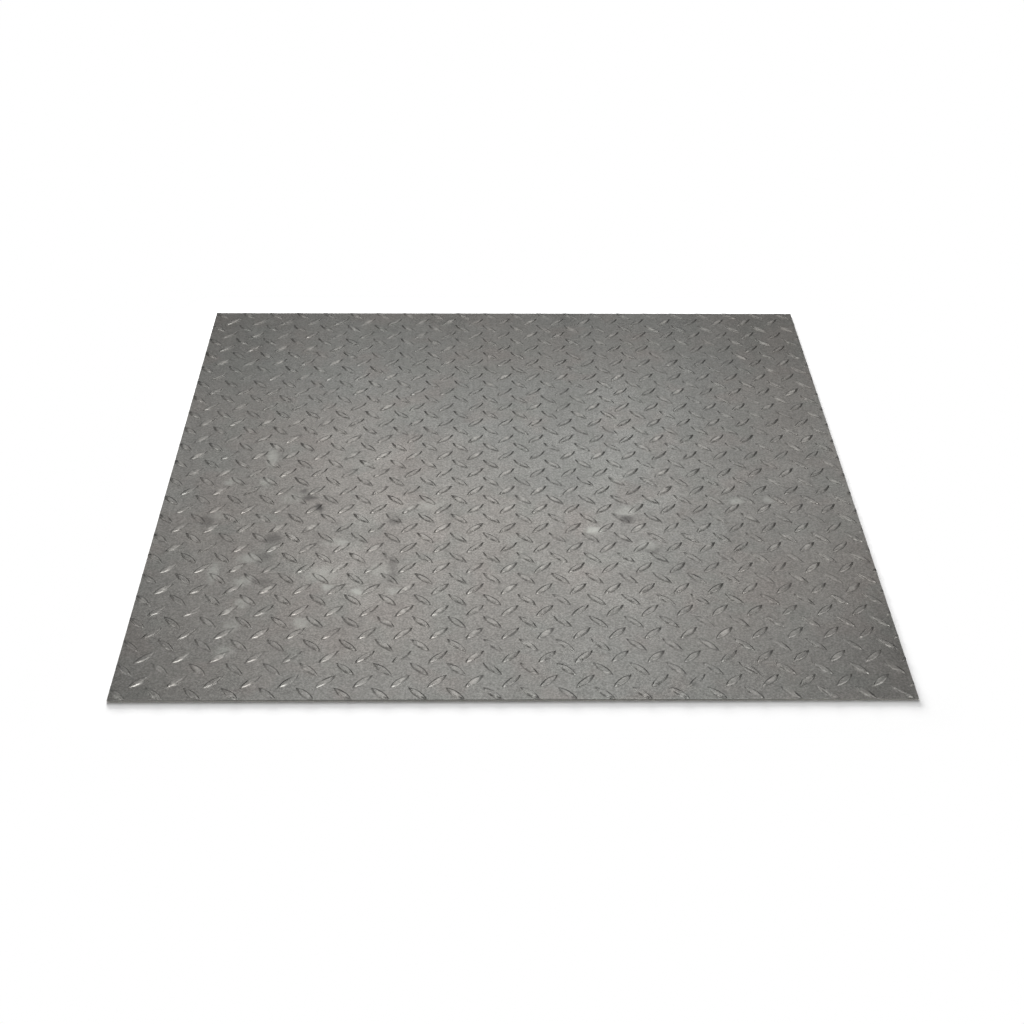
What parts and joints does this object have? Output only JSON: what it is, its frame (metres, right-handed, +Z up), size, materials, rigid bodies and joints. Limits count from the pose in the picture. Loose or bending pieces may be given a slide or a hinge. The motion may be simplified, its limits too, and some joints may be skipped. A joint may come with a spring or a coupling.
{
  "type": "checker steel plate",
  "caption": "Square flat sheet of hot-rolled steel floor plate with a raised four-way pattern of slim pointed lugs on its upper face and a plain underside.",
  "frame": {"origin": "centre of the flat underside", "axes": "+Z is up through the sheet, with the lugs facing up; +X runs along the front edge to the right and +Y to the back edge; rising lugs lean from front left to back right"},
  "size_m": [0.9144, 0.9144, 0.0048],
  "materials": {
    "mill_steel": "hot-rolled mild steel, pickled and oiled mill finish, satin grey with faint handling smears"
  },
  "bodies": {
    "root": {"checker_plate": "mill_steel"}
  },
  "joints": []
}
